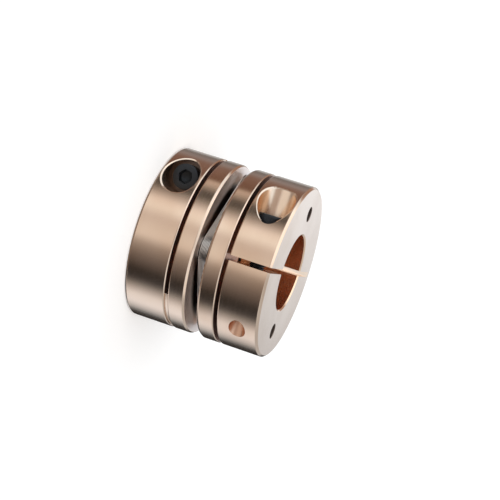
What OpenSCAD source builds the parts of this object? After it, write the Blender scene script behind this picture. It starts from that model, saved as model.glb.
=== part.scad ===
// Disc coupling with two slit clamp hubs joined by one laminated disc pack.
// The shaft axis is Z. The lower hub stands on Z = 0 with its slit towards -X. The upper hub is
// the same part, turned over and a quarter round, so that its slit is towards -Y.

/* [Hub] */
// Outer diameter of both hubs
outer_d = 68; // [66:1:90]
// Diameter of the shaft bore
bore_d = 30; // [14:0.5:36]
// Length of the clamp section, from the end face to the relief slot
clamp_len = 16.25; // [15:0.25:26]
// Wall left between a screw head's pocket and the relief slot
flange_floor = 1.25; // [0.8:0.05:4]
// Chamfer on the outer rims
rim_chamfer = 0.85; // [0.3:0.05:1.5]
// Chamfer on the bore's edges
bore_chamfer = 0.5; // [0.2:0.1:1]

/* [Slit and relief slot] */
// Width of the slit that lets the clamp section close
slit_w = 2; // [1:0.25:3]
// Wall left between the slit's far end and the rim
slit_web = 3; // [2:0.5:6]
// Diameter of the slitting saw, which leaves its arc in the far wall
saw_d = 80; // [70:5:100]
// Width of the relief slot, along the shaft axis
relief_w = 1.5; // [1:0.25:3]
// Depth of the metal that still joins the clamp section to the flange, from the rim inwards
relief_hinge = 13.5; // [12.5:0.5:15]
// Depth of the groove that the relief slot starts from, all the way round
groove_depth = 0.9; // [0.8:0.1:1.5]
// Chamfer on the groove's edges
groove_chamfer = 0.4; // [0.3:0.1:0.8]

/* [Clamp screw] */
// Thread diameter of the clamp screw
clamp_screw_d = 6; // [5:1:6]
// Length of the clamp screw under its head
clamp_screw_len = 25; // [20:1:28]
// Head diameter of the clamp screw
clamp_head_d = 10; // [8.5:0.5:11]
// Head height of the clamp screw
clamp_head_h = 6; // [5:0.5:7]
// Width across the flats of the clamp screw's socket
clamp_socket = 5; // [4:0.5:6]
// Diameter of the counterbore for the clamp screw's head
counterbore_d = 13.5; // [12:0.25:14]
// Wall left between the counterbore and the rim
counterbore_wall = 4.25; // [3:0.25:6]
// Thickness of the jaw that the head presses on, from the slit to the head's seat
jaw_under_head = 12; // [6:0.5:12]

/* [Disc pack] */
// Number of leaves in the pack
leaf_count = 6; // [2:1:10]
// Thickness of one leaf
leaf_t = 0.5; // [0.2:0.05:0.8]
// Radius of the lobe round each pack screw
lobe_r = 7.4; // [6:0.1:8]
// Distance from the hub's rim to the tip of a lobe
lobe_inset = 3.2; // [2:0.1:5]
// Clearance between the shaft and the hole in the pack, on the radius
pack_hole_gap = 1.5; // [0.5:0.25:2]

/* [Pack screws] */
// Thread diameter of the pack screws
pack_screw_d = 5; // [4:1:5]
// Head diameter of the pack screws
pack_head_d = 8.5; // [7:0.5:9]
// Head height of the pack screws
pack_head_h = 5; // [4:0.5:5.5]
// Width across the flats of the pack screws' socket
pack_socket = 4; // [3:0.5:4]
// Length of thread that each pack screw has in its hub
pack_thread_len = 5; // [3:0.5:5]
// Diameter of the washers under the heads and of the spacer rings
washer_d = 9.5; // [9:0.25:10]
// Thickness of the washers and the spacer rings
washer_t = 1; // [0.5:0.1:2]
// Diameter of the hole that lets the key through to a pack screw
access_d = 5.7; // [5:0.1:7]

/* [Clearances] */
// Clearance of a screw in its threaded hole, on the radius
thread_gap = 0.05; // [0.02:0.01:0.1]
// Clearance of a screw in a plain hole, on the radius
hole_gap = 0.1; // [0.05:0.05:0.3]
// Clearance round a pack screw's head and washer in the pocket, on the radius and at its end
pocket_gap = 0.5; // [0.3:0.1:0.8]
// Extra depth of a threaded hole past its screw's end
thread_runout = 0.5; // [0.3:0.1:0.7]

/* [Hidden] */
$fn = 96;
hexagon = 6;
cut = 1;
edge_break = 0.35;
socket_depth = 0.5;

outer_r = outer_d / 2;
bore_r = bore_d / 2;

pocket_d = washer_d + 2 * pocket_gap;
pocket_depth = pack_head_h + pocket_gap;
flange_len = pocket_depth + flange_floor;
hub_len = clamp_len + relief_w + flange_len;

pack_t = leaf_count * leaf_t;
pack_z = hub_len + washer_t;
total_len = 2 * hub_len + 2 * washer_t + pack_t;

slit_depth = clamp_len + relief_w / 2;
saw_r = saw_d / 2;
saw_x = outer_r - slit_web - sqrt(saw_r * saw_r - (saw_r - slit_depth) * (saw_r - slit_depth));

relief_x = outer_r - relief_hinge;
clamp_x = counterbore_wall + counterbore_d / 2 - outer_r;
clamp_z = clamp_len / 2;
seat_y = -slit_w / 2 - jaw_under_head;

pack_r = outer_r - lobe_inset - lobe_r;
pack_hole_r = bore_r + pack_hole_gap;
pack_screw_len = 2 * washer_t + pack_t + pack_thread_len;

HUB_COLOUR = [0.82, 0.69, 0.60];
BLACK_STEEL = [0.13, 0.14, 0.15];
LEAF_STEEL = [0.66, 0.67, 0.68];
WASHER_STEEL = [0.76, 0.76, 0.75];

function numbered(name, count) = [for (i = [1:count]) str(name, i)];

LEAVES = numbered("disc_leaf_", leaf_count);
PACK_SCREWS = numbered("pack_screw_", 4);
HEAD_WASHERS = numbered("head_washer_", 4);
HUB_SPACERS = numbered("hub_spacer_", 4);

// Turns a hub or its screw over and a quarter round, to the upper end of the coupling
module at_upper_end() {
    translate([0, 0, total_len]) rotate([180, 0, 90]) children();
}

// Puts a piece at bolting point i, with its own +Z towards the screw's head and Z = 0 at the
// pack's middle. The heads point up at the two points on X, and down at the two on Y.
module at_bolting_point(i) {
    translate([0, 0, total_len / 2])
        rotate([0, 0, 90 * (i - 1)])
            rotate([i % 2 == 1 ? 0 : 180, 0, 0])
                translate([pack_r, 0, 0])
                    children();
}

// Puts a piece on the clamp screw's axis, with Z = 0 at the head's seat and +Z out of the counterbore
module at_clamp_screw() {
    translate([clamp_x, seat_y, clamp_z]) rotate([90, 0, 0]) children();
}

// Turned form of a hub: bore, chamfered rims and the chamfered groove over the relief slot
module hub_blank() {
    relief_end = clamp_len + relief_w;
    groove_r = outer_r - groove_depth;
    chamfer_r = outer_r - groove_chamfer;
    rotate_extrude()
        polygon([
            [bore_r + bore_chamfer, 0],
            [outer_r - rim_chamfer, 0],
            [outer_r, rim_chamfer],
            [outer_r, clamp_len - groove_chamfer],
            [chamfer_r, clamp_len],
            [groove_r, clamp_len],
            [groove_r, relief_end],
            [chamfer_r, relief_end],
            [outer_r, relief_end + groove_chamfer],
            [outer_r, hub_len - rim_chamfer],
            [outer_r - rim_chamfer, hub_len],
            [bore_r + bore_chamfer, hub_len],
            [bore_r, hub_len - bore_chamfer],
            [bore_r, bore_chamfer]
        ]);
}

// Saw cut that frees the clamp section from the flange, except for the hinge on the far side
module relief_cut() {
    translate([-outer_r - cut, -outer_r - cut, clamp_len])
        cube([outer_r + cut + relief_x, 2 * (outer_r + cut), relief_w]);
}

// Slit through the near wall of the clamp section, with the saw's arc in the far wall
module slit_cut() {
    translate([-outer_r - cut, -slit_w / 2, -cut])
        cube([outer_r - bore_r + 2 * cut, slit_w, slit_depth + cut]);
    translate([saw_x, 0, slit_depth - saw_r])
        rotate([90, 0, 0])
            cylinder(h = slit_w, d = saw_d, center = true);
}

// Counterbore, plain hole up to the slit and threaded hole beyond it
module clamp_screw_holes() {
    at_clamp_screw() {
        cylinder(h = outer_r, d = counterbore_d);
        translate([0, 0, -jaw_under_head - slit_w / 2])
            cylinder(h = jaw_under_head + slit_w / 2 + cut, r = clamp_screw_d / 2 + 3 * hole_gap);
        translate([0, 0, -2 * outer_r])
            cylinder(h = 2 * outer_r - jaw_under_head, r = clamp_screw_d / 2 + thread_gap);
    }
}

// Hole for the key, with its edge broken, and the pocket that holds a pack screw's head
module head_pocket() {
    pocket_z = hub_len - pocket_depth;
    translate([0, 0, -cut])
        cylinder(h = pocket_z + 2 * cut, d = access_d);
    translate([0, 0, -cut])
        cylinder(h = cut + edge_break, r1 = access_d / 2 + edge_break + cut, r2 = access_d / 2);
    translate([0, 0, pocket_z])
        cylinder(h = pocket_depth + cut, d = pocket_d);
}

// Threaded hole in the flange for a pack screw that this hub carries
module pack_thread_hole() {
    translate([0, 0, hub_len - pack_thread_len - thread_runout])
        cylinder(h = pack_thread_len + thread_runout + cut, r = pack_screw_d / 2 + thread_gap);
}

// One clamp hub, standing on its end face with its slit towards -X
module clamp_hub() {
    color(HUB_COLOUR)
        difference() {
            hub_blank();
            relief_cut();
            slit_cut();
            clamp_screw_holes();
            for (side = [-1, 1]) {
                translate([0, side * pack_r, 0]) head_pocket();
                translate([side * pack_r, 0, 0]) pack_thread_hole();
            }
        }
}

// Socket head cap screw, with its head's underside on Z = 0 and its shank downwards
module cap_screw(d, len, head_d, head_h, socket) {
    r = d / 2;
    head_r = head_d / 2;
    difference() {
        rotate_extrude()
            polygon([
                [0, -len],
                [r - edge_break, -len],
                [r, edge_break - len],
                [r, 0],
                [head_r, 0],
                [head_r, head_h - edge_break],
                [head_r - edge_break, head_h],
                [0, head_h]
            ]);
        translate([0, 0, head_h * (1 - socket_depth)])
            cylinder(h = head_h, d = socket / cos(180 / hexagon), $fn = hexagon);
    }
}

// Screw that closes the slit
module clamp_screw() {
    color(BLACK_STEEL)
        at_clamp_screw()
            cap_screw(clamp_screw_d, clamp_screw_len, clamp_head_d, clamp_head_h, clamp_socket);
}

// Outline of a leaf: a square standing on its corner, rounded about the four bolting points
module leaf_outline() {
    side = pack_r * sqrt(2);
    rotate(45) {
        square([side, side + 2 * lobe_r], center = true);
        square([side + 2 * lobe_r, side], center = true);
    }
    for (a = [0:90:270])
        rotate(a) translate([pack_r, 0]) circle(r = lobe_r);
}

// One leaf of the disc pack, counted from the lower hub
module disc_leaf(i) {
    color(LEAF_STEEL)
        translate([0, 0, pack_z + (i - 1) * leaf_t])
            linear_extrude(height = leaf_t)
                difference() {
                    leaf_outline();
                    circle(r = pack_hole_r);
                    for (a = [0:90:270])
                        rotate(a) translate([pack_r, 0]) circle(r = pack_screw_d / 2 + hole_gap);
                }
}

// Screw that bolts the pack to one hub, with its head in the other hub's pocket
module pack_screw(i) {
    color(BLACK_STEEL)
        at_bolting_point(i)
            translate([0, 0, pack_t / 2 + washer_t])
                cap_screw(pack_screw_d, pack_screw_len, pack_head_d, pack_head_h, pack_socket);
}

// Flat ring with its underside on Z = 0
module washer_ring() {
    color(WASHER_STEEL)
        difference() {
            cylinder(h = washer_t, d = washer_d);
            translate([0, 0, -cut])
                cylinder(h = washer_t + 2 * cut, r = pack_screw_d / 2 + hole_gap);
        }
}

// Washer between the pack and a screw's head
module head_washer(i) {
    at_bolting_point(i) translate([0, 0, pack_t / 2]) washer_ring();
}

// Ring between the pack and the hub that carries it at this screw
module hub_spacer(i) {
    at_bolting_point(i) translate([0, 0, -pack_t / 2 - washer_t]) washer_ring();
}

clamp_hub();  // lower_hub
at_upper_end() clamp_hub();  // upper_hub
clamp_screw();  // lower_clamp_screw
at_upper_end() clamp_screw();  // upper_clamp_screw
for (i = [1:leaf_count]) {
    disc_leaf(i);
}
for (i = [1:4]) {
    pack_screw(i);
    head_washer(i);
    hub_spacer(i);
}
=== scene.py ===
"""Looks of the disc coupling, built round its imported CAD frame.

The coupling stands on the lower hub's end face at Z = 0, and its shaft axis is Z. Sizes are in
millimetres, as in the part's source, and become metres where a mesh is made.
"""

import logging
import math
from dataclasses import dataclass
from enum import Enum
from typing import Any, Callable, Iterable

import bmesh
import bpy
from mathutils import Matrix, Vector


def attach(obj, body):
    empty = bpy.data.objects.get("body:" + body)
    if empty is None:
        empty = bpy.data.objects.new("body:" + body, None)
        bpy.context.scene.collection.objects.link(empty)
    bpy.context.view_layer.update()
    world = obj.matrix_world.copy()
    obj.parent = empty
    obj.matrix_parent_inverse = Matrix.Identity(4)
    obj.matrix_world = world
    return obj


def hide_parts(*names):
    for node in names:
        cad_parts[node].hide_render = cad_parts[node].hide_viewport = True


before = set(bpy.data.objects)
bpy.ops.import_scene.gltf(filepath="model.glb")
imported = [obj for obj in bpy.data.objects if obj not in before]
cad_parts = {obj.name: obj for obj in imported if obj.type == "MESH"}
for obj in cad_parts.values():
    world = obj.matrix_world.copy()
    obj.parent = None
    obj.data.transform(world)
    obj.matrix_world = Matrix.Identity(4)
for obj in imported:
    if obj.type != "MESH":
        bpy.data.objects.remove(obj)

MM = 0.001
FULL_TURN = 2 * math.pi
# In metres: points this close are one point, the slivers of a cut are thinner than SLIVER, and a
# point this near to a cutting plane lies on it.
TOUCHING = 1e-7
SLIVER = 5e-7
ON_PLANE = 1e-8
# Edges sharper than this, in degrees, stay crisp.
SHARP = 30.0
ROOT = "root"

log = logging.getLogger("coupling")

Outline = list[tuple[float, float]]
Path = list[tuple[float, float, float]]


# Colours and nodes.


def linear(hex_colour: str) -> tuple[float, float, float, float]:
    """Turns an sRGB hex colour into linear values.

    Args:
        hex_colour: A colour such as "#E7CDB4".

    Returns:
        Linear red, green and blue, and an alpha of 1.
    """
    values = [int(hex_colour[i:i + 2], 16) / 255 for i in (1, 3, 5)]
    values = [v / 12.92 if v <= 0.04045 else ((v + 0.055) / 1.055) ** 2.4 for v in values]
    return (*values, 1.0)


def add_node(tree: bpy.types.NodeTree, kind: str, settings: dict[str, Any] | None = None,
             **inputs: Any) -> bpy.types.Node:
    """Adds a node, sets it up and links it.

    Args:
        tree: The tree that the node goes into.
        kind: The node's type name, without the word ShaderNode.
        settings: Properties of the node. A colour ramp takes its stops, pairs of position and
            linear colour, by the name stops.
        **inputs: A value or an output socket for each input, by its name with _ for a space,
            or by its number after the letter i.

    Returns:
        The new node.
    """
    node = tree.nodes.new("ShaderNode" + kind)
    settings = dict(settings or {})
    for index, (position, colour) in enumerate(settings.pop("stops", ())):
        elements = node.color_ramp.elements
        stop = elements[index] if index < 2 else elements.new(position)
        stop.position, stop.color = position, colour
    for name, value in settings.items():
        setattr(node, name, value)
    for name, value in inputs.items():
        key = int(name[1:]) if name[0] == "i" and name[1:].isdigit() else name.replace("_", " ")
        socket = node.inputs[key]
        if isinstance(value, bpy.types.NodeSocket):
            tree.links.new(value, socket)
        else:
            socket.default_value = value
    return node


def new_material(name: str) -> tuple[bpy.types.Material, bpy.types.NodeTree]:
    """Makes an empty node material.

    Args:
        name: Its name.

    Returns:
        The material and its tree.
    """
    material = bpy.data.materials.new(name)
    material.use_nodes = True
    material.node_tree.nodes.clear()
    return material, material.node_tree


# Modelling.


class Kind(Enum):
    """What edit mode picks."""

    POINTS = "VERT"
    EDGES = "EDGE"
    FACES = "FACE"


class Cut(Enum):
    """How a tool acts on a piece."""

    REMOVE = "DIFFERENCE"
    ADD = "UNION"
    KEEP = "INTERSECT"


def take(piece: bpy.types.Object) -> bpy.types.Object:
    """Makes a piece the only one selected, and active.

    Args:
        piece: The piece.

    Returns:
        The same piece.
    """
    bpy.ops.object.select_all(action="DESELECT")
    piece.select_set(True)
    bpy.context.view_layer.objects.active = piece
    return piece


def start(primitive: Callable, name: str, **sizes: Any) -> bpy.types.Object:
    """Adds a primitive with nothing else selected.

    Args:
        primitive: The operator that adds it.
        name: The piece's name.
        **sizes: What the operator takes, in metres.

    Returns:
        The new object, with its place in its mesh.
    """
    bpy.ops.object.select_all(action="DESELECT")
    primitive(**sizes)
    piece = bpy.context.object
    piece.name = piece.data.name = name
    bpy.ops.object.transform_apply(location=True, rotation=True, scale=True)
    return piece


def open_for_edit(piece: bpy.types.Object, kind: Kind = Kind.FACES) -> None:
    """Opens a piece in edit mode with everything selected.

    Args:
        piece: The piece.
        kind: What edit mode picks.
    """
    take(piece)
    bpy.ops.object.mode_set(mode="EDIT")
    bpy.ops.mesh.select_mode(type=kind.value)
    bpy.ops.mesh.select_all(action="SELECT")


def close_edit() -> None:
    """Goes back to object mode."""
    bpy.ops.object.mode_set(mode="OBJECT")


def pick(piece: bpy.types.Object, kind: Kind, test: Callable[[Any], bool]) -> int:
    """Selects in edit mode what passes a test, and nothing else.

    Args:
        piece: The piece that is open for edit.
        kind: Points, edges or faces.
        test: Says of a bmesh element whether it is wanted.

    Returns:
        How many were selected.
    """
    bpy.ops.mesh.select_mode(type=kind.value)
    bpy.ops.mesh.select_all(action="DESELECT")
    shape = bmesh.from_edit_mesh(piece.data)
    parts = {Kind.POINTS: shape.verts, Kind.EDGES: shape.edges, Kind.FACES: shape.faces}[kind]
    found = [part for part in parts if test(part)]
    for part in found:
        part.select_set(True)
    shape.select_flush_mode()
    bmesh.update_edit_mesh(piece.data)
    return len(found)


def draw(name: str, path: Path) -> bpy.types.Object:
    """Makes a piece of edges that follow a path, by extruding one point along it.

    Args:
        name: The piece's name.
        path: The points in order, in millimetres.

    Returns:
        The piece.
    """
    piece = start(bpy.ops.mesh.primitive_plane_add, name, size=MM)
    open_for_edit(piece, Kind.POINTS)
    bpy.ops.mesh.merge(type="CENTER")
    bpy.ops.transform.translate(value=[MM * v for v in path[0]])
    for a, b in zip(path, path[1:]):
        step = [MM * (q - p) for p, q in zip(a, b)]
        bpy.ops.mesh.extrude_region_move(TRANSFORM_OT_translate={"value": step})
    close_edit()
    return piece


def line(name: str, outline: Outline) -> bpy.types.Object:
    """Makes a piece of edges that follow an outline of (radius, height) points, in the XZ plane."""
    return draw(name, [(r, 0, z) for r, z in outline])


def eased(outline: Outline, width: float) -> Outline:
    """Rounds the corners of an outline, as a deburring tool does.

    Args:
        outline: Points of (radius, height), in millimetres.
        width: How far from a corner its rounding starts.

    Returns:
        The outline with three points in each corner's place. Its ends stay as they are.
    """
    points = [outline[0]]
    for before, corner, after in zip(outline, outline[1:], outline[2:]):
        c = Vector(corner)
        a, b = (Vector(p) - c for p in (before, after))
        # Less than half of a side, so that the roundings at its two ends don't meet.
        reach = min(width, a.length / 2.5, b.length / 2.5)
        first, last = c + a.normalized() * reach, c + b.normalized() * reach
        points += [tuple(first), tuple((first + last) / 4 + c / 2), tuple(last)]
    return points + [outline[-1]]


def ring(name: str, loops: list[Path]) -> bpy.types.Object:
    """Makes a closed ring whose section changes on its way round.

    Args:
        name: The piece's name.
        loops: The path of each of the section's corners, all with as many points, in millimetres.

    Returns:
        The ring, with its faces outwards.
    """
    parts = [draw(f"loop_{n}", path + path[:1]) for n, path in enumerate(loops)]
    bpy.ops.object.select_all(action="DESELECT")
    for part in parts:
        part.select_set(True)
    piece = bpy.context.view_layer.objects.active = parts[0]
    bpy.ops.object.join()
    piece.name = piece.data.name = name
    open_for_edit(piece, Kind.EDGES)
    bpy.ops.mesh.remove_doubles(threshold=TOUCHING)
    count = len(loops[0])
    for n in range(len(loops)):
        pair = (n, (n + 1) % len(loops))
        pick(piece, Kind.EDGES, lambda e: e.verts[0].index // count == e.verts[1].index // count
             and e.verts[0].index // count in pair)
        bpy.ops.mesh.bridge_edge_loops()
    merge_and_face_out()
    close_edit()
    return piece


def turned(name: str, outline: Outline, steps: int) -> bpy.types.Object:
    """Turns an outline round Z, as on a lathe.

    Args:
        name: The piece's name.
        outline: Points of (radius, height): from axis to axis, or a ring's whole outline with
            its first point again at the end.
        steps: How many faces go round.

    Returns:
        The closed piece, with its faces outwards.
    """
    piece = line(name, outline)
    open_for_edit(piece, Kind.POINTS)
    bpy.ops.mesh.remove_doubles(threshold=TOUCHING)
    bpy.ops.mesh.spin(steps=steps, angle=FULL_TURN, center=(0, 0, 0), axis=(0, 0, 1))
    merge_and_face_out()
    close_edit()
    return piece


def merge_and_face_out(distance: float = TOUCHING) -> None:
    """Merges in edit mode the points of the whole mesh that meet, and turns its faces outwards.

    Args:
        distance: How near to each other points that meet are, in metres.
    """
    bpy.ops.mesh.select_all(action="SELECT")
    bpy.ops.mesh.remove_doubles(threshold=distance)
    bpy.ops.mesh.normals_make_consistent(inside=False)


def bar(name: str, radius: float, low: float, high: float, steps: int) -> bpy.types.Object:
    """Turns a plain round bar that stands on Z from a lower to an upper height."""
    return turned(name, [(0, low), (radius, low), (radius, high), (0, high)], steps)


def slice_off(at: tuple[float, float, float], outward: tuple[float, float, float]) -> None:
    """Takes off in edit mode what is outside a plane, given in millimetres, and closes the cut."""
    bpy.ops.mesh.select_all(action="SELECT")
    bpy.ops.mesh.bisect(plane_co=[MM * v for v in at], plane_no=outward, use_fill=True,
                        clear_outer=True, threshold=ON_PLANE)


def place(piece: bpy.types.Object, at: tuple[float, float, float],
          turn: tuple[float, float, float] = (0, 0, 0)) -> bpy.types.Object:
    """Moves a piece's mesh, and leaves its object at the origin.

    Args:
        piece: The piece.
        at: How far it is shifted, in millimetres, after its turn.
        turn: How far it is turned about X, Y and Z, in degrees.

    Returns:
        The same piece.
    """
    take(piece)
    piece.rotation_euler = [math.radians(a) for a in turn]
    piece.location = [MM * v for v in at]
    bpy.ops.object.transform_apply(location=True, rotation=True, scale=True)
    return piece


def copy_of(piece: bpy.types.Object, name: str) -> bpy.types.Object:
    """Copies a piece with a mesh of its own.

    Args:
        piece: The piece.
        name: The copy's name.

    Returns:
        The copy.
    """
    twin = piece.copy()
    twin.data = piece.data.copy()
    twin.name = twin.data.name = name
    bpy.context.scene.collection.objects.link(twin)
    return twin


def apply(piece: bpy.types.Object, kind: str, **settings: Any) -> None:
    """Adds a modifier and applies it.

    Args:
        piece: The piece.
        kind: The modifier's type name.
        **settings: Its settings.
    """
    take(piece)
    modifier = piece.modifiers.new(kind.lower(), kind)
    for name, value in settings.items():
        setattr(modifier, name, value)
    bpy.ops.object.modifier_apply(modifier=modifier.name)


def heal(piece: bpy.types.Object) -> None:
    """Closes the hair gaps of a cut: merges the points of its slivers and fills the rest.

    Args:
        piece: The piece.
    """
    open_for_edit(piece, Kind.POINTS)
    bpy.ops.mesh.remove_doubles(threshold=SLIVER)
    bpy.ops.mesh.dissolve_degenerate(threshold=SLIVER)
    if pick(piece, Kind.EDGES, lambda edge: edge.is_boundary):
        bpy.ops.mesh.fill_holes(sides=0)
    merge_and_face_out()
    close_edit()


def combine(piece: bpy.types.Object, tool: bpy.types.Object, cut: Cut = Cut.REMOVE) -> bpy.types.Object:
    """Cuts, joins or trims a piece with a tool, which is used up.

    Args:
        piece: The piece that stays.
        tool: A closed mesh. Its material goes to the faces that it leaves.
        cut: How the tool acts.

    Returns:
        The piece.
    """
    apply(piece, "BOOLEAN", operation=cut.value, solver="EXACT", object=tool,
          material_mode="TRANSFER")
    bpy.data.objects.remove(tool, do_unlink=True)
    heal(piece)
    return piece


def dress(piece: bpy.types.Object, *materials: bpy.types.Material) -> bpy.types.Object:
    """Gives a piece its materials.

    Args:
        piece: The piece.
        *materials: The materials. The first one goes to faces that have none of their own.

    Returns:
        The same piece.
    """
    piece.data.materials.clear()
    for material in materials:
        piece.data.materials.append(material)
    return piece


def smooth(piece: bpy.types.Object, degrees: float = SHARP) -> None:
    """Shades a piece smooth, apart from edges sharper than an angle."""
    take(piece)
    bpy.ops.object.shade_smooth_by_angle(angle=math.radians(degrees))


def even_out(piece: bpy.types.Object) -> None:
    """Shades a piece smooth, with each point's normal led by the large faces beside it."""
    smooth(piece)
    apply(piece, "WEIGHTED_NORMAL", keep_sharp=True, weight=50)


def break_edges(piece: bpy.types.Object, width: float, material: int) -> None:
    """Chamfers a piece's sharp edges and evens out its shading.

    Args:
        piece: The piece.
        width: Width of the chamfer, in millimetres.
        material: The number of the chamfer's material on the piece.
    """
    apply(piece, "BEVEL", width=MM * width, segments=1, limit_method="ANGLE",
          angle_limit=math.radians(SHARP), use_clamp_overlap=False, miter_outer="MITER_ARC",
          material=material)
    even_out(piece)


# Finishes.


def from_axis(tree: bpy.types.NodeTree, at: bpy.types.NodeSocket) -> tuple:
    """Measures a place from the shaft's axis.

    Args:
        tree: The material's tree.
        at: The place.

    Returns:
        Sockets with its offset from the axis, that offset's length, and its height along the axis.
    """
    parts = add_node(tree, "SeparateXYZ", i0=at).outputs
    offset = add_node(tree, "CombineXYZ", X=parts["X"], Y=parts["Y"]).outputs[0]
    length = add_node(tree, "VectorMath", {"operation": "LENGTH"}, i0=offset).outputs["Value"]
    return offset, length, parts["Z"]


@dataclass(frozen=True)
class ChampagneAluminium:
    """Aluminium bar, turned, bright dipped and anodised champagne.

    A warm pale metal. The tool's feed leaves fine lines round the axis, which stretch each
    reflection along the shaft and keep it sharp across it.
    """

    name: str = "anodised_aluminium_turned"
    colour: str = "#E7CAB0"
    deep: str = "#DDBDA1"
    tone_size: float = 18.0
    roughness: float = 0.2
    smoother: float = 0.035
    rougher: float = 0.045
    # The real feed is about 0.1 mm. It is drawn four times as coarse, so that it shows.
    feed: float = 0.42
    line_depth: float = 0.0035
    line_strength: float = 0.35
    stretch: float = 0.45

    def material(self) -> bpy.types.Material:
        """Builds the material.

        Returns:
            The material, whose lines follow the distance along and from the Z axis.
        """
        material, tree = new_material(self.name)
        at = add_node(tree, "TexCoord").outputs["Object"]
        offset, radius, height = from_axis(tree, at)
        along = add_node(tree, "Math", {"operation": "ADD"}, i0=radius, i1=height).outputs[0]
        lines = add_node(tree, "TexNoise", {"noise_dimensions": "1D"}, W=along,
                         Scale=1 / (MM * self.feed), Detail=3.0, Roughness=0.6).outputs[0]
        tone = add_node(tree, "TexNoise", None, Vector=at, Scale=1 / (MM * self.tone_size),
                        Detail=2.0).outputs[0]
        stops = [(0.3, linear(self.deep)), (0.62, linear(self.colour))]
        colour = add_node(tree, "ValToRGB", {"stops": stops}, Fac=tone)
        rough = add_node(tree, "MapRange", None, Value=lines, i1=0.25, i2=0.75,
                         i3=self.roughness - self.smoother,
                         i4=self.roughness + self.rougher).outputs[0]
        bump = add_node(tree, "Bump", None, Strength=self.line_strength,
                        Distance=MM * self.line_depth, Height=lines).outputs[0]
        round_z = add_node(tree, "VectorMath", {"operation": "CROSS_PRODUCT"}, i0=(0, 0, 1),
                           i1=offset).outputs[0]
        shader = add_node(tree, "BsdfPrincipled", None, Base_Color=colour.outputs["Color"],
                          Metallic=1.0, Roughness=rough, Anisotropic=self.stretch,
                          Anisotropic_Rotation=0.25, Normal=bump, Tangent=round_z)
        add_node(tree, "OutputMaterial", None, Surface=shader.outputs[0])
        return material


@dataclass(frozen=True)
class Marks:
    """What a tool or a process leaves: marks of a size in millimetres, and what they do.

    They make the surface a little smoother and rougher by turns, and stand out by a relief in
    millimetres, which the strength scales.
    """

    size: float
    smoother: float
    rougher: float
    relief: float
    strength: float
    detail: float = 3.0


MILL_CHATTER = Marks(0.9, 0.02, 0.03, 0.003, 0.1)
CUTTER_SCRATCHES = Marks(0.35, 0.04, 0.08, 0.005, 0.25)
LATHE_MARKS = Marks(0.3, 0.05, 0.08, 0.004, 0.2)
ROLLING_LINES = Marks(0.25, 0.02, 0.03, 0.001, 0.1)
OXIDE_GRAIN = Marks(0.35, 0.06, 0.08, 0.01, 0.3, 4.0)


@dataclass(frozen=True)
class Metal:
    """A metal of one colour, whose marks vary its roughness and its relief."""

    name: str
    colour: str
    roughness: float
    marks: Marks
    metallic: float = 1.0

    def pattern(self, tree: bpy.types.NodeTree, at: bpy.types.NodeSocket) -> bpy.types.NodeSocket:
        """Gives the pattern of the marks at a place, from 0 to 1."""
        return add_node(tree, "TexNoise", None, Vector=at, Scale=1 / (MM * self.marks.size),
                        Detail=self.marks.detail).outputs[0]

    def tone(self, tree: bpy.types.NodeTree, at: bpy.types.NodeSocket,
             pattern: bpy.types.NodeSocket) -> tuple | bpy.types.NodeSocket:
        """Gives the base colour, which is even here."""
        return linear(self.colour)

    def material(self) -> bpy.types.Material:
        """Builds the material and returns it."""
        material, tree = new_material(self.name)
        at = add_node(tree, "TexCoord").outputs["Object"]
        pattern = self.pattern(tree, at)
        rough = add_node(tree, "MapRange", None, Value=pattern, i1=0.3, i2=0.7,
                         i3=self.roughness - self.marks.smoother,
                         i4=self.roughness + self.marks.rougher).outputs[0]
        bump = add_node(tree, "Bump", None, Strength=self.marks.strength,
                        Distance=MM * self.marks.relief, Height=pattern).outputs[0]
        shader = add_node(tree, "BsdfPrincipled", None, Base_Color=self.tone(tree, at, pattern),
                          Metallic=self.metallic, Roughness=rough, Normal=bump)
        add_node(tree, "OutputMaterial", None, Surface=shader.outputs[0])
        return material


@dataclass(frozen=True)
class FacedAluminium(Metal):
    """The flange's faced side: pale and satin, with a painted shade on its inner part, near the pack.
    """

    # Painted shade: its colour, and the radii over which it gives way to the pale colour.
    painted_shade_colour: str = "#4A3E36"
    painted_shade_r: tuple[float, float] = (25.5, 28.5)

    def tone(self, tree: bpy.types.NodeTree, at: bpy.types.NodeSocket,
             pattern: bpy.types.NodeSocket) -> bpy.types.NodeSocket:
        """Gives the base colour: a painted shade inside a radius, near the pack."""
        radius = from_axis(tree, at)[1]
        # Painted shade near the pack: 0 inside the inner radius, 1 outside the outer one.
        unshaded = add_node(tree, "MapRange", {"interpolation_type": "SMOOTHSTEP"}, Value=radius,
                       i1=MM * self.painted_shade_r[0], i2=MM * self.painted_shade_r[1]).outputs[0]
        stops = [(0, linear(self.painted_shade_colour)), (1, linear(self.colour))]
        return add_node(tree, "ValToRGB", {"stops": stops}, Fac=unshaded).outputs["Color"]


@dataclass(frozen=True)
class BlackOxideSteel(Metal):
    """Alloy steel, cold headed, hardened and black oxided: near black, with a soft oily gleam."""

    worn: str = "#2A2C2F"

    def tone(self, tree: bpy.types.NodeTree, at: bpy.types.NodeSocket,
             pattern: bpy.types.NodeSocket) -> bpy.types.NodeSocket:
        """Gives the base colour: a little lighter where the oxide is thin."""
        stops = [(0.35, linear(self.colour)), (0.8, linear(self.worn))]
        return add_node(tree, "ValToRGB", {"stops": stops}, Fac=pattern).outputs["Color"]


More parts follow.
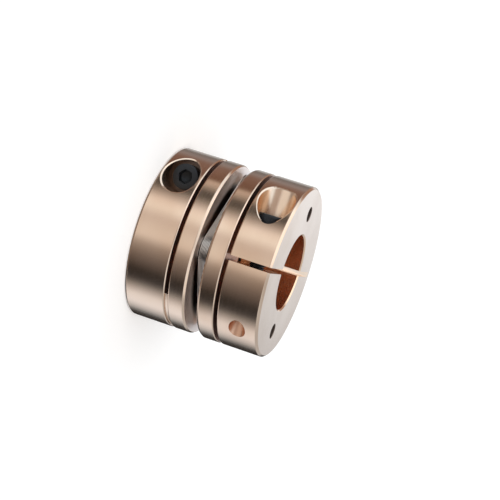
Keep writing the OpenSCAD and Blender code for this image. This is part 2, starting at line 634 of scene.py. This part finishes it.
@dataclass(frozen=True)
class SpringSteel(Metal):
    """Stainless spring strip, cold rolled and stamped: grey, with straight rolling lines."""

    shade: str = "#D6CDC3"
    line_stretch: float = 0.04

    def pattern(self, tree: bpy.types.NodeTree, at: bpy.types.NodeSocket) -> bpy.types.NodeSocket:
        """Gives the rolling lines, which run along X."""
        drawn = add_node(tree, "Mapping", {"vector_type": "POINT"}, Vector=at,
                         Scale=(self.line_stretch, 1.0, 0.0)).outputs[0]
        return super().pattern(tree, drawn)

    def tone(self, tree: bpy.types.NodeTree, at: bpy.types.NodeSocket,
             pattern: bpy.types.NodeSocket) -> bpy.types.NodeSocket:
        """Gives the base colour: two greys that follow the rolling lines."""
        stops = [(0.3, linear(self.shade)), (0.7, linear(self.colour))]
        return add_node(tree, "ValToRGB", {"stops": stops}, Fac=pattern).outputs["Color"]


class Finishes:
    """The materials that the pieces share."""

    def __init__(self) -> None:
        """Builds each material once."""
        self.turned = ChampagneAluminium().material()
        # The same aluminium in the shaft bore: reamed, a little richer and smoother.
        self.bored = Metal("anodised_aluminium_reamed", "#F5CCA8", 0.2, MILL_CHATTER).material()
        # In the counterbores and the slit, cut with an end mill: even, with faint chatter.
        self.milled = Metal("anodised_aluminium_milled", "#F0D5BB", 0.23, MILL_CHATTER).material()
        # In the relief slot: dull and greyer, with a slitting saw's scratches.
        self.sawn = Metal("anodised_aluminium_sawn", "#C8ADA0", 0.34, CUTTER_SCRATCHES).material()
        # In the clamp screw's way out: a countersink's satin.
        self.countersunk = Metal("anodised_aluminium_countersunk", "#DDB092", 0.34,
                                 CUTTER_SCRATCHES).material()
        # On the screws' seats and in their holes: rough, as a drill leaves them, and dark as a painted
        # shade in these recesses and under the heads.
        self.drilled_painted_shade = Metal("anodised_aluminium_drilled", "#7C6A5E", 0.5, CUTTER_SCRATCHES).material()
        self.faced = FacedAluminium("anodised_aluminium_faced", "#FAE6D8", 0.33,
                                    CUTTER_SCRATCHES).material()
        self.black = BlackOxideSteel("black_oxide_steel", "#1C1E20", 0.42, OXIDE_GRAIN, 0.3).material()
        self.leaf = SpringSteel("stainless_spring_steel", "#E6DDD3", 0.3, ROLLING_LINES).material()
        # On the leaves' broken edges: nearly black, a painted shade in the gaps between the leaves.
        self.leaf_gap_shade = SpringSteel("spring_steel_painted_gap_shade", "#35322F", 0.5, ROLLING_LINES,
                                      shade="#2D2B29").material()
        # Turned stainless washers: bright, with fine rings.
        self.washer = Metal("stainless_washer_steel", "#CFCFCC", 0.22, LATHE_MARKS).material()


# The coupling.


TOTAL_LEN = 54.0
BOLT_R = 23.4
BOLTS = 4


class End(Enum):
    """Which end of the coupling a piece belongs to."""

    LOWER = "lower"
    UPPER = "upper"

    def put(self, piece: bpy.types.Object) -> bpy.types.Object:
        """Leaves a piece at the lower end, or turns it over and a quarter round to the upper end."""
        if self is End.UPPER:
            place(piece, (0, 0, TOTAL_LEN), (180, 0, 90))
        return piece


def put_at_bolt(piece: bpy.types.Object, number: int) -> bpy.types.Object:
    """Puts a piece at a bolting point, with its own +Z towards the screw's head.

    Args:
        piece: A piece round its own Z axis, with Z = 0 for the pack's middle.
        number: The point, 1 on +X, 2 on +Y, 3 on -X and 4 on -Y.

    Returns:
        The piece.
    """
    place(piece, (BOLT_R, 0, 0), (0 if number % 2 else 180, 0, 0))
    return place(piece, (0, 0, TOTAL_LEN / 2), (0, 0, 90 * (number - 1)))


@dataclass
class Thread:
    """A metric outside thread round Z, from a lower to an upper height."""

    radius: float
    pitch: float
    low: float
    high: float
    tip_chamfer: float = 0.6
    depth_share: float = 0.6
    steps: int = 32

    def rod(self, name: str, grow: float = 0.0) -> bpy.types.Object:
        """Models the threaded rod.

        Args:
            name: The piece's name.
            grow: How much larger its radius is, for the tool that taps the hole.

        Returns:
            The rod, with flat ends and the lower one chamfered.
        """
        p = self.pitch
        crest, root = self.radius + grow, self.radius + grow - self.depth_share * p
        # One tooth, in shares of the pitch: up its flank, along its crest, down, and along the root.
        tooth = [(root, 0), (crest, 0.34 * p), (crest, 0.5 * p), (root, 0.84 * p), (root, p)]
        base = p * (math.floor(self.low / p) - 2)
        turns = math.ceil((self.high - base) / p) + 2
        rod = line(name, [(r, z + base) for r, z in tooth])
        apply(rod, "SCREW", angle=FULL_TURN, screw_offset=MM * p, steps=self.steps,
              render_steps=self.steps, iterations=turns, use_merge_vertices=True)
        open_for_edit(rod, Kind.POINTS)
        merge_and_face_out(2 * SLIVER)
        for height, side in ((self.low, -1), (self.high, 1)):
            slice_off((0, 0, height), (0, 0, side))
        merge_and_face_out()
        close_edit()
        if grow == 0:
            inner = crest - self.tip_chamfer
            trim = turned("trim", [(0, self.low - 0.1), (inner - 0.1, self.low - 0.1),
                                   (crest, self.low + self.tip_chamfer),
                                   (crest + 1, self.low + self.tip_chamfer),
                                   (crest + 1, self.high + 1), (0, self.high + 1)], self.steps)
            combine(rod, trim, Cut.KEEP)
        return rod


@dataclass
class CapScrew:
    """A socket head cap screw, with its head's underside on Z = 0 and its shank downwards."""

    radius: float
    pitch: float
    length: float
    head_r: float
    head_h: float
    socket: float
    socket_turn: float = 0.0
    flutes: int = 40
    flute_margin: float = 0.9
    flute_gap: float = 0.07
    flute_depth: float = 0.11
    under_edge: float = 0.15
    head_edge: float = 0.35
    socket_lead: float = 0.14

    def thread(self) -> Thread:
        """Gives the screw's thread, from its tip to a little way into its head."""
        return Thread(self.radius, self.pitch, -self.length, 0.3)

    def head(self, name: str) -> bpy.types.Object:
        """Models the fluted head with its chamfered hexagon socket.

        Args:
            name: The piece's name.

        Returns:
            The head.
        """
        r, h, e, under = self.head_r, self.head_h, self.head_edge, self.under_edge
        band = (self.flute_margin, h - self.flute_margin)
        head = turned(name, [(0, 0), (r - under, 0), (r, under), (r, band[0]), (r, band[1]),
                             (r, h - e), (r - 0.3 * e, h - 0.3 * e), (r - e, h), (0, h)],
                      2 * self.flutes)
        middle = MM * (band[0] + band[1]) / 2

        def in_flute(face: bmesh.types.BMFace) -> bool:
            """Says whether a face is every other one of the head's side."""
            c = face.calc_center_median()
            turn = math.atan2(c.y, c.x) / FULL_TURN * 2 * self.flutes
            return abs(c.z - middle) < 1e-5 and abs(face.normal.z) < 0.1 and int(turn // 1) % 2 == 0

        open_for_edit(head)
        pick(head, Kind.FACES, in_flute)
        bpy.ops.mesh.inset(thickness=MM * self.flute_gap, depth=-MM * self.flute_depth,
                           use_individual=True)
        close_edit()
        across = self.socket / math.cos(math.radians(30))
        hexagon = start(bpy.ops.mesh.primitive_cylinder_add, "hexagon", vertices=6,
                        radius=MM * across / 2, depth=MM * h,
                        rotation=(0, 0, math.radians(30 + self.socket_turn)))
        combine(head, place(hexagon, (0, 0, h)))
        wide = self.socket / 2 + self.socket_lead
        mouth = turned("mouth", [(0, h - wide), (wide + 0.5, h + 0.5), (0, h + 0.5)], 48)
        combine(head, mouth)
        drill = turned("drill", [(0, h / 2 - 0.3 * self.socket), (self.socket / 2 - 0.1, h / 2 + 0.05),
                                 (0, h / 2 + 0.05)], 32)
        return combine(head, drill)

    def build(self, name: str, finish: bpy.types.Material) -> bpy.types.Object:
        """Models the whole screw.

        Args:
            name: The piece's name.
            finish: Its material.

        Returns:
            The screw.
        """
        screw = self.head(name)
        combine(screw, self.thread().rod("rod"), Cut.ADD)
        dress(screw, finish)
        smooth(screw, 25)
        return screw


@dataclass
class ClampHub:
    """A clamp hub in its own frame: its end face on Z = 0 and its slit towards -X."""

    outer_r: float = 34.0
    bore_r: float = 15.0
    clamp_len: float = 16.25
    relief_w: float = 1.5
    length: float = 24.5
    rim_chamfer: float = 0.85
    bore_chamfer: float = 0.5
    groove_depth: float = 0.9
    groove_chamfer: float = 0.4
    steepness: float = 0.65
    relief_x: float = 20.5
    mouth_chamfer: float = 0.5
    slit_w: float = 2.0
    slit_end: float = 31.0
    saw_r: float = 40.0
    screw_x: float = -23.0
    screw_z: float = 8.125
    seat_y: float = -13.0
    counterbore_r: float = 6.75
    plain_r: float = 3.3
    pocket_r: float = 5.25
    pocket_depth: float = 5.5
    access_r: float = 2.85
    tapped_r: float = 2.55
    tap_clearance: float = 0.05
    exit_clearance: float = 0.3
    exit_chamfer: float = 0.6
    exit_depth: float = 1.5
    edge: float = 0.2
    softening: float = 0.12
    wall_cosine: float = 0.9995
    wall_gap: float = 0.02
    steps: int = 256
    mouth_steps: int = 120

    def blank(self) -> bpy.types.Object:
        """Turns the hub's blank, with its chamfers and its groove.

        Returns:
            The blank.
        """
        r, z1, z2 = self.outer_r, self.clamp_len, self.clamp_len + self.relief_w
        c, g = self.rim_chamfer, self.groove_chamfer
        # The chamfers at the groove and at the pack are steeper than the one at the end face.
        c2, g2 = self.steepness * c, self.steepness * g
        outline = [
            (0, 0), (r - c, 0), (r, c), (r, z1 - g), (r - g2, z1),
            (r - self.groove_depth, z1), (r - self.groove_depth, z2), (r - g2, z2), (r, z2 + g),
            (r, self.length - c), (r - c2, self.length), (0, self.length),
        ]
        return turned("blank", eased(outline, self.softening), self.steps)

    def box(self, name: str, low: tuple[float, float, float],
            high: tuple[float, float, float]) -> bpy.types.Object:
        """Makes a block, as the sweep of a saw or a slitting cutter.

        Args:
            name: Its name.
            low: Its lowest corner, in millimetres.
            high: Its highest corner, in millimetres.

        Returns:
            The block.
        """
        middle = [MM * (a + b) / 2 for a, b in zip(low, high)]
        size = [MM * (b - a) for a, b in zip(low, high)]
        return start(bpy.ops.mesh.primitive_cube_add, name, size=1, location=middle, scale=size)

    def relief_cut(self) -> bpy.types.Object:
        """Makes the sweep of the saw that frees the clamp section from the flange, up to the hinge."""
        far, z1 = self.outer_r + 1, self.clamp_len
        return self.box("relief_cut", (-far, -far, z1), (self.relief_x, far, z1 + self.relief_w))

    def slit_cuts(self) -> Iterable[bpy.types.Object]:
        """Gives the slit's two parts: through the near wall, and the saw's arc in the far wall.

        Yields:
            Each cut's sweep in its place.
        """
        far, half = self.outer_r + 1, self.slit_w / 2
        deep, r = self.clamp_len + self.relief_w / 2, self.saw_r
        near = 1 - self.bore_r
        yield self.box("slit_cut", (-far, -half, -1), (near, half, deep))
        disc = bar("saw", r, -half, half, self.steps)
        place(disc, (self.slit_end - math.sqrt(r ** 2 - (r - deep) ** 2), 0, deep - r), (90, 0, 0))
        # The disc's near part goes, half a millimetre past the first cut, so that they share no face.
        open_for_edit(disc)
        slice_off((near + 0.5, 0, 0), (-1, 0, 0))
        merge_and_face_out()
        close_edit()
        yield disc

    def reamer(self) -> bpy.types.Object:
        """Makes the reamer of the shaft bore, with a chamfer at either end, and returns it."""
        b, c, top = self.bore_r, self.bore_chamfer, self.length
        return turned("reamer", [(0, -1), (b + c + 1, -1), (b, c), (b, top - c),
                                 (b + c + 1, top + 1), (0, top + 1)], 192)

    def refinish(self, hub: bpy.types.Object, finish: bpy.types.Material,
                 test: Callable[[Vector, Vector], bool]) -> None:
        """Gives some faces of the hub another finish.

        Args:
            hub: The hub.
            finish: One of its materials.
            test: Says of a face's middle in millimetres, and its normal, whether it is wanted.
        """
        number = hub.data.materials.find(finish.name)
        for face in hub.data.polygons:
            if test(face.center / MM, face.normal):
                face.material_index = number

    def on_seat(self, at: Vector, normal: Vector) -> bool:
        """Says whether a face is on the clamp screw's seat."""
        reach = math.hypot(at.x - self.screw_x, at.z - self.screw_z)
        return abs(at.y - self.seat_y) < 0.01 and reach < self.counterbore_r

    def on_gap_side(self, at: Vector, normal: Vector) -> bool:
        """Says whether a face is on the flange's flat side, which looks at the pack."""
        return normal.z > 0.99 and at.z > self.length - 0.01

    def drills(self, clamp: CapScrew, finishes: Finishes
               ) -> Iterable[tuple[bpy.types.Object, bpy.types.Material]]:
        """Gives the drills and cutters that bore the blank, one after the other.

        Args:
            clamp: The clamp screw, whose thread is tapped into the hub.
            finishes: The materials.

        Yields:
            Each tool in its place, and the finish that it leaves.
        """
        far, seat = self.outer_r + 1, self.seat_y
        # A tool that is placed so stands on the clamp screw's seat, with its Z out past the head.
        screw_at, screw_turn = (self.screw_x, seat, self.screw_z), (90, 0, 0)
        counterbore = bar("counterbore", self.counterbore_r, 0, far, 128)
        yield place(counterbore, screw_at, screw_turn), finishes.milled
        yield self.mouth_chamfer_tool(), finishes.milled
        # The plain hole reaches from the slit's middle to just past the seat, and the thread goes on.
        yield place(bar("drill", self.plain_r, seat, 1, 96), screw_at, screw_turn), finishes.drilled_painted_shade
        tap = Thread(clamp.radius, clamp.pitch, -2 * far, seat + self.slit_w / 4)
        yield place(tap.rod("tap", self.tap_clearance), screw_at, screw_turn), finishes.milled
        # The thread ends inside a plain mouth, whose floor is under the wall's lowest point there.
        sink, c = clamp.radius + self.exit_clearance, self.exit_chamfer
        deep = seat - math.sqrt(self.outer_r ** 2 - (self.screw_x - sink) ** 2) + self.exit_depth
        mouth = turned("drill", [(0, -2 * far), (sink, -2 * far), (sink, deep), (sink - c, deep + c),
                                 (0, deep + c)], 96)
        yield place(mouth, screw_at, screw_turn), finishes.countersunk
        e, top = self.edge, self.length
        floor = top - self.pocket_depth
        for side in (-1, 1):
            key_way = turned("drill", [(0, -1), (self.access_r + e + 1, -1), (self.access_r, e),
                                       (self.access_r, floor), (self.pocket_r, floor),
                                       (self.pocket_r, top + 1), (0, top + 1)], 96)
            yield place(key_way, (0, side * BOLT_R, 0)), finishes.drilled_painted_shade
            tapped = bar("drill", self.tapped_r, floor, top + 1, 96)
            yield place(tapped, (side * BOLT_R, 0, 0)), finishes.drilled_painted_shade

    def build(self, clamp: CapScrew, finishes: Finishes) -> bpy.types.Object:
        """Models the hub at the lower end.

        Args:
            clamp: The clamp screw that goes into it.
            finishes: The materials.

        Returns:
            The hub.
        """
        hub = dress(self.blank(), finishes.turned, finishes.faced)
        combine(hub, dress(self.reamer(), finishes.bored))
        for tool, finish in self.drills(clamp, finishes):
            combine(hub, dress(tool, finish))
        combine(hub, dress(self.relief_cut(), finishes.sawn))
        for tool in self.slit_cuts():
            combine(hub, dress(tool, finishes.milled))
        # The seat under the screw's head gets the rough finish with its painted shade.
        self.refinish(hub, finishes.drilled_painted_shade, self.on_seat)
        self.refinish(hub, finishes.faced, self.on_gap_side)
        even_out(hub)
        self.true_wall(hub)
        return hub

    def true_wall(self, hub: bpy.types.Object) -> None:
        """Makes the turned wall's shading exactly round, also beside the holes that were cut into it.

        Args:
            hub: The hub.
        """
        mesh = hub.data
        normals = [corner.vector.copy() for corner in mesh.corner_normals]
        for face in mesh.polygons:
            outward = Vector((face.center.x, face.center.y, 0)).normalized()
            if face.normal.dot(outward) > self.wall_cosine and all(
                    abs(mesh.vertices[v].co.to_2d().length / MM - self.outer_r) < self.wall_gap
                    for v in face.vertices):
                for loop in face.loop_indices:
                    at = mesh.vertices[mesh.loops[loop].vertex_index].co
                    normals[loop] = Vector((at.x, at.y, 0)).normalized()
        mesh.normals_split_custom_set(normals)

    def mouth_chamfer_tool(self) -> bpy.types.Object:
        """Makes the ring that chamfers the edge where the counterbore meets the hub's wall.

        Returns:
            The ring in its place. Its section is a triangle that follows the edge up and down.
        """
        r, w, over, steps = self.counterbore_r, self.mouth_chamfer, 0.05, self.mouth_steps

        def at(turn: float, reach: float, y: float) -> tuple[float, float, float]:
            """Gives the point at a turn and a reach from the clamp screw's axis, and at its Y."""
            return (self.screw_x + reach * math.cos(turn), y, self.screw_z + reach * math.sin(turn))

        loops: list[Path] = [[], [], []]
        for number in range(steps):
            turn = number * FULL_TURN / steps
            edge, wall = (-math.sqrt(self.outer_r ** 2 - at(turn, reach, 0)[0] ** 2)
                          for reach in (r, r + w))
            inside = max(edge + w, wall - 0.3 * w)
            slope = (inside - wall) / w
            loops[0].append(at(turn, r + w + over, wall - slope * over))
            loops[1].append(at(turn, r - over, inside + slope * over))
            loops[2].append(at(turn, r - over, edge - 4))
        return ring("mouth_chamfer", loops)


@dataclass
class DiscPack:
    """The laminated pack: stamped leaves with a lobe at each bolting point."""

    leaves: int = 6
    leaf_t: float = 0.5
    lobe_r: float = 7.4
    centre_r: float = 16.5
    hole_r: float = 2.6
    edge: float = 0.12

    def leaf(self, name: str) -> bpy.types.Object:
        """Models one leaf with its underside on Z = 0.

        Args:
            name: The piece's name.

        Returns:
            The leaf.
        """
        t = self.leaf_t
        lobes = []
        corners = [(math.cos(angle), math.sin(angle))
                   for angle in (number * FULL_TURN / BOLTS for number in range(BOLTS))]
        for x, y in corners:
            lobes.append(start(bpy.ops.mesh.primitive_cylinder_add, name, vertices=96,
                               radius=MM * self.lobe_r, depth=MM * t,
                               location=(MM * BOLT_R * x, MM * BOLT_R * y, MM * t / 2)))
        leaf = take(lobes[0])
        for lobe in lobes:
            lobe.select_set(True)
        bpy.ops.object.join()
        leaf.name = leaf.data.name = name
        open_for_edit(leaf, Kind.POINTS)
        bpy.ops.mesh.convex_hull()
        bpy.ops.mesh.select_all(action="SELECT")
        bpy.ops.mesh.dissolve_limited(angle_limit=math.radians(0.5))
        close_edit()
        combine(leaf, bar("punch", self.centre_r, -1, t + 1, 192))
        for x, y in corners:
            punch = bar("punch", self.hole_r, -1, t + 1, 48)
            combine(leaf, place(punch, (BOLT_R * x, BOLT_R * y, 0)))
        return leaf

    def build(self, finishes: Finishes) -> list[bpy.types.Object]:
        """Models the leaves and stacks them.

        Args:
            finishes: The materials.

        Returns:
            The leaves, from the lower hub upwards.
        """
        # Each leaf's broken edges are painted darker than its sides, as a painted shade in the gaps
        # between the leaves.
        first = dress(self.leaf("pack_leaf_1"), finishes.leaf, finishes.leaf_gap_shade)
        break_edges(first, self.edge, 1)
        leaves = [first] + [copy_of(first, f"pack_leaf_{n}") for n in range(2, self.leaves + 1)]
        low = TOTAL_LEN / 2 - self.half_height()
        for index, leaf in enumerate(leaves):
            place(leaf, (0, 0, low + index * self.leaf_t))
        return leaves

    def half_height(self) -> float:
        """Gives how far the pack reaches from its middle, in millimetres."""
        return self.leaves * self.leaf_t / 2


@dataclass
class Washer:
    """A flat ring with its underside on Z = 0."""

    outer_r: float = 4.75
    hole_r: float = 2.6
    thickness: float = 1.0
    edge: float = 0.12

    def build(self, name: str, finishes: Finishes) -> bpy.types.Object:
        """Turns the ring.

        Args:
            name: The piece's name.
            finishes: The materials.

        Returns:
            The ring.
        """
        r, i, t, e = self.outer_r, self.hole_r, self.thickness, self.edge
        ring = turned(name, [(i, e), (i + e, 0), (r - e, 0), (r, e), (r, t - e), (r - e, t),
                             (i + e, t), (i, t - e), (i, e)], 72)
        dress(ring, finishes.washer)
        smooth(ring)
        return ring


# The studio.


@dataclass
class Studio:
    """The camera, the pale floor and the soft light."""

    camera_at: tuple[float, float, float] = (-23.61, -522.89, 166.31)
    camera_right: tuple[float, float, float] = (-0.2998, 0.24169, 0.92288)
    camera_up: tuple[float, float, float] = (-0.95328, -0.03812, -0.29969)
    camera_back: tuple[float, float, float] = (-0.03725, -0.96961, 0.24182)
    lens: float = 100.8
    floor_size: float = 60.0
    floor_middle_r: float = 0.5
    floor_lift: float = 0.18
    key_strength: float = 0.9
    sky_strength: float = 0.72
    sky_near: tuple[float, float, float, float] = (1.08, 1.23, 1.40, 1)
    sky_far: tuple[float, float, float, float] = (0.58, 0.64, 0.71, 1)
    ground: tuple[float, float, float, float] = (0.3, 0.27, 0.26, 1)
    # Parts of a unit vector's X or Z, between which one card gives way to the next.
    sky_turn: tuple[float, float] = (0.18, -0.08)
    sky_edge: tuple[float, float] = (0.0, 0.13)
    ground_edge: tuple[float, float] = (-0.74, -0.93)
    card_blur: float = 5.0
    bounces: int = 16

    def camera(self) -> None:
        """Puts the camera at the photograph's viewing angle."""
        data = bpy.data.cameras.new("camera")
        data.lens, data.sensor_width = self.lens, 36.0
        data.clip_start, data.clip_end = 0.01, 100.0
        camera = bpy.data.objects.new("camera", data)
        bpy.context.scene.collection.objects.link(camera)
        turn = Matrix((self.camera_right, self.camera_up, self.camera_back)).transposed()
        at = Matrix.Translation(Vector(self.camera_at) * MM)
        camera.matrix_world = at @ turn.to_4x4()
        bpy.context.scene.camera = camera

    def floor(self) -> None:
        """Lays a white floor that keeps the coupling's shadow. The metal mirrors the studio instead."""
        floor = start(bpy.ops.mesh.primitive_circle_add, "floor", vertices=128,
                      radius=self.floor_size / 2, fill_type="NGON")
        open_for_edit(floor)
        bpy.ops.mesh.inset(thickness=self.floor_size / 2 - self.floor_middle_r)
        close_edit()
        material, tree = new_material("matt_white_floor")
        path = add_node(tree, "LightPath")
        seen = add_node(tree, "Math", {"operation": "ADD"}, i0=path.outputs["Is Camera Ray"],
                        i1=path.outputs["Is Glossy Ray"]).outputs[0]
        seen = add_node(tree, "Math", {"operation": "ADD", "use_clamp": True}, i0=seen,
                        i1=path.outputs["Is Transmission Ray"]).outputs[0]
        lift = add_node(tree, "Math", {"operation": "MULTIPLY"}, i0=seen,
                        i1=self.floor_lift).outputs[0]
        shader = add_node(tree, "BsdfPrincipled", None, Base_Color=linear("#FAFAFA"), Roughness=1.0,
                          Specular_IOR_Level=0.0, Emission_Color=(1, 1, 1, 1),
                          Emission_Strength=lift)
        add_node(tree, "OutputMaterial", None, Surface=shader.outputs[0])
        dress(floor, material)
        floor.visible_glossy = False

    def key(self) -> None:
        """Hangs one broad soft light above the camera. The metal mirrors the cards instead of it."""
        data = bpy.data.lights.new("key", "SUN")
        data.energy, data.angle = self.key_strength, math.radians(50)
        key = bpy.data.objects.new("key", data)
        key.rotation_euler = Vector((-0.2, -0.75, 1.0)).to_track_quat("Z", "Y").to_euler()
        key.visible_glossy = False
        bpy.context.scene.collection.objects.link(key)

    def world(self) -> None:
        """Sets the white surroundings, and the bright and dark cards that the metal mirrors."""
        world = bpy.data.worlds.new("studio")
        bpy.context.scene.world = world
        world.use_nodes = True
        tree = world.node_tree
        tree.nodes.clear()
        way = add_node(tree, "TexCoord").outputs["Generated"]
        part = add_node(tree, "SeparateXYZ", None, i0=way).outputs
        turn = add_node(tree, "TexGradient", {"gradient_type": "RADIAL"}, Vector=way).outputs["Fac"]
        stops = [((angle + 180) / 360, (*colour, 1)) for angle, colour in self.cards()]
        cards = add_node(tree, "ValToRGB", {"stops": stops}, Fac=turn).outputs["Color"]

        soft = {"interpolation_type": "SMOOTHSTEP"}
        near = add_node(tree, "MapRange", soft, Value=part["X"], i1=self.sky_turn[0],
                        i2=self.sky_turn[1]).outputs[0]
        sky = add_node(tree, "MixRGB", None, Fac=near, Color1=self.sky_far,
                       Color2=self.sky_near).outputs[0]
        down = add_node(tree, "MapRange", soft, Value=part["Z"], i1=self.ground_edge[0],
                        i2=self.ground_edge[1]).outputs[0]
        low = add_node(tree, "MixRGB", None, Fac=down, Color1=cards, Color2=self.ground).outputs[0]
        up = add_node(tree, "MapRange", soft, Value=part["Z"], i1=self.sky_edge[0],
                      i2=self.sky_edge[1]).outputs[0]
        mirrored = add_node(tree, "MixRGB", None, Fac=up, Color1=low, Color2=sky).outputs[0]
        for around, high, wide, colour in self.high_cards():
            toward = add_node(tree, "VectorMath", {"operation": "DOT_PRODUCT"}, i0=way,
                              i1=self.direction(around, high)).outputs["Value"]
            card = add_node(tree, "MapRange", soft, Value=toward,
                            i1=math.cos(math.radians(wide + self.card_blur)),
                            i2=math.cos(math.radians(wide - self.card_blur))).outputs[0]
            mirrored = add_node(tree, "MixRGB", None, Fac=card, Color1=mirrored,
                                Color2=(*colour, 1)).outputs[0]
        path = add_node(tree, "LightPath").outputs
        plain = add_node(tree, "MixRGB", None, Fac=path["Is Camera Ray"],
                         Color1=(self.sky_strength,) * 3 + (1,), Color2=(1, 1, 1, 1)).outputs[0]
        colour = add_node(tree, "MixRGB", None, Fac=path["Is Glossy Ray"], Color1=plain,
                          Color2=mirrored).outputs[0]
        light = add_node(tree, "Background", None, Color=colour, Strength=1.0)
        add_node(tree, "OutputWorld", None, Surface=light.outputs[0])

    def direction(self, around: float, up: float) -> tuple[float, float, float]:
        """Gives the unit vector at an angle from +X and an angle above the floor, in degrees."""
        a, e = math.radians(around), math.radians(up)
        return (math.cos(a) * math.cos(e), math.sin(a) * math.cos(e), math.sin(e))

    def high_cards(self) -> list[tuple[float, float, float, tuple[float, float, float]]]:
        """Gives the cards above the horizon.

        They are a softbox on the -X side, two dim ones, and three that the chamfers mirror.

        Returns:
            Each one's angle from +X, angle above the floor, angular radius, and linear colour.
        """
        return [
            (-175, 64, 27, (1.55, 1.62, 1.75)),
            (128, 18, 20, (0.40, 0.28, 0.23)),
            (-90, 24, 22, (0.48, 0.42, 0.40)),
            (-63, 48, 13, (1.05, 1.15, 1.28)),
            (-44, 45, 13, (1.05, 1.15, 1.28)),
            (-24, 40, 13, (1.05, 1.15, 1.28)),
        ]

    def cards(self) -> list[tuple[float, tuple[float, float, float]]]:
        """Gives the edges and middles of the cards round the coupling, by angle from +X.

        Returns:
            Pairs of angle in degrees, from -180 to 180, and linear colour.
        """
        return [
            (-180, (0.74, 0.66, 0.62)),
            (-171, (0.45, 0.41, 0.39)),
            (-162, (0.10, 0.095, 0.095)),
            (-153, (0.08, 0.075, 0.07)),
            (-143, (0.42, 0.40, 0.40)),
            (-131, (1.06, 1.08, 1.13)),
            (-121, (1.14, 1.22, 1.30)),
            (-108, (0.77, 0.76, 0.79)),
            (-92, (0.86, 0.86, 0.87)),
            (-82, (0.90, 0.89, 0.90)),
            (-70, (0.41, 0.38, 0.37)),
            (-54, (0.20, 0.18, 0.18)),
            (-34, (0.035, 0.032, 0.032)),
            (-23, (0.035, 0.035, 0.038)),
            (-17, (0.09, 0.095, 0.11)),
            (-11, (0.29, 0.31, 0.34)),
            (-4, (0.56, 0.60, 0.67)),
            (6, (0.95, 1.05, 1.21)),
            (22, (1.00, 1.12, 1.32)),
            (34, (0.64, 0.72, 0.83)),
            (46, (0.18, 0.21, 0.24)),
            (55, (0.035, 0.035, 0.035)),
            (81, (0.03, 0.03, 0.03)),
            (88, (0.30, 0.30, 0.30)),
            (98, (0.60, 0.62, 0.63)),
            (108, (0.58, 0.64, 0.68)),
            (118, (0.16, 0.15, 0.15)),
            (132, (0.33, 0.32, 0.35)),
            (144, (0.26, 0.18, 0.16)),
            (164, (0.23, 0.145, 0.12)),
            (175, (0.15, 0.08, 0.055)),
            (180, (0.74, 0.66, 0.62)),
        ]

    def build(self) -> None:
        """Builds the studio."""
        bpy.context.scene.view_settings.view_transform = "Standard"
        # Light that enters the bore and the slit is mirrored many times before it leaves.
        cycles = bpy.context.scene.cycles
        cycles.max_bounces = cycles.glossy_bounces = self.bounces
        self.camera()
        self.floor()
        self.key()
        self.world()


# Assembly.


def own(piece: bpy.types.Object, slot: str, *nodes: str) -> None:
    """Lets a piece ride on the coupling and stand for its CAD nodes.

    Args:
        piece: The piece.
        slot: The record's material slot. It is not used.
        *nodes: The CAD nodes that it replaces.
    """
    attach(piece, ROOT)
    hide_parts(*nodes)
    log.info("%s stands for %s: %d faces", piece.name, ", ".join(nodes), len(piece.data.polygons))


def main() -> None:
    """Builds the coupling and its studio."""
    logging.basicConfig(level=logging.INFO, format="%(name)s: %(message)s")
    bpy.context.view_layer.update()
    finishes = Finishes()
    clamp = CapScrew(radius=3.0, pitch=1.0, length=25.0, head_r=5.0, head_h=6.0, socket=5.0,
                     socket_turn=15)
    hub = ClampHub().build(clamp, finishes)
    for end in End:
        twin = end.put(copy_of(hub, f"{end.value}_clamp_hub"))
        own(twin, "hub_aluminium", f"{end.value}_hub")
    bpy.data.objects.remove(hub, do_unlink=True)

    screw = clamp.build("clamp_screw", finishes.black)
    place(screw, (ClampHub.screw_x, ClampHub.seat_y, ClampHub.screw_z), (90, 0, 0))
    for end in End:
        twin = end.put(copy_of(screw, f"{end.value}_m6_cap_screw"))
        own(twin, "black_screw_steel", f"{end.value}_clamp_screw")
    bpy.data.objects.remove(screw, do_unlink=True)

    pack, washer = DiscPack(), Washer()
    for number, leaf in enumerate(pack.build(finishes), 1):
        own(leaf, "leaf_steel", f"disc_leaf_{number}")

    bolt = CapScrew(radius=2.5, pitch=0.8, length=10.0, head_r=4.25, head_h=5.0, socket=4.0)
    bolt = bolt.build("pack_bolt", finishes.black)
    ring = washer.build("ring", finishes)
    washer_z = pack.half_height()
    head_z = washer_z + washer.thickness
    for number in range(1, BOLTS + 1):
        twin = place(copy_of(bolt, f"m5_cap_screw_{number}"), (0, 0, head_z))
        own(put_at_bolt(twin, number), "black_screw_steel", f"pack_screw_{number}")
        twin = place(copy_of(ring, f"screw_washer_{number}"), (0, 0, washer_z))
        own(put_at_bolt(twin, number), "washer_steel", f"head_washer_{number}")
        twin = place(copy_of(ring, f"spacer_ring_{number}"), (0, 0, -head_z))
        own(put_at_bolt(twin, number), "washer_steel", f"hub_spacer_{number}")
    for spare in (bolt, ring):
        bpy.data.objects.remove(spare, do_unlink=True)

    Studio().build()


if __name__ == "__main__":
    main()
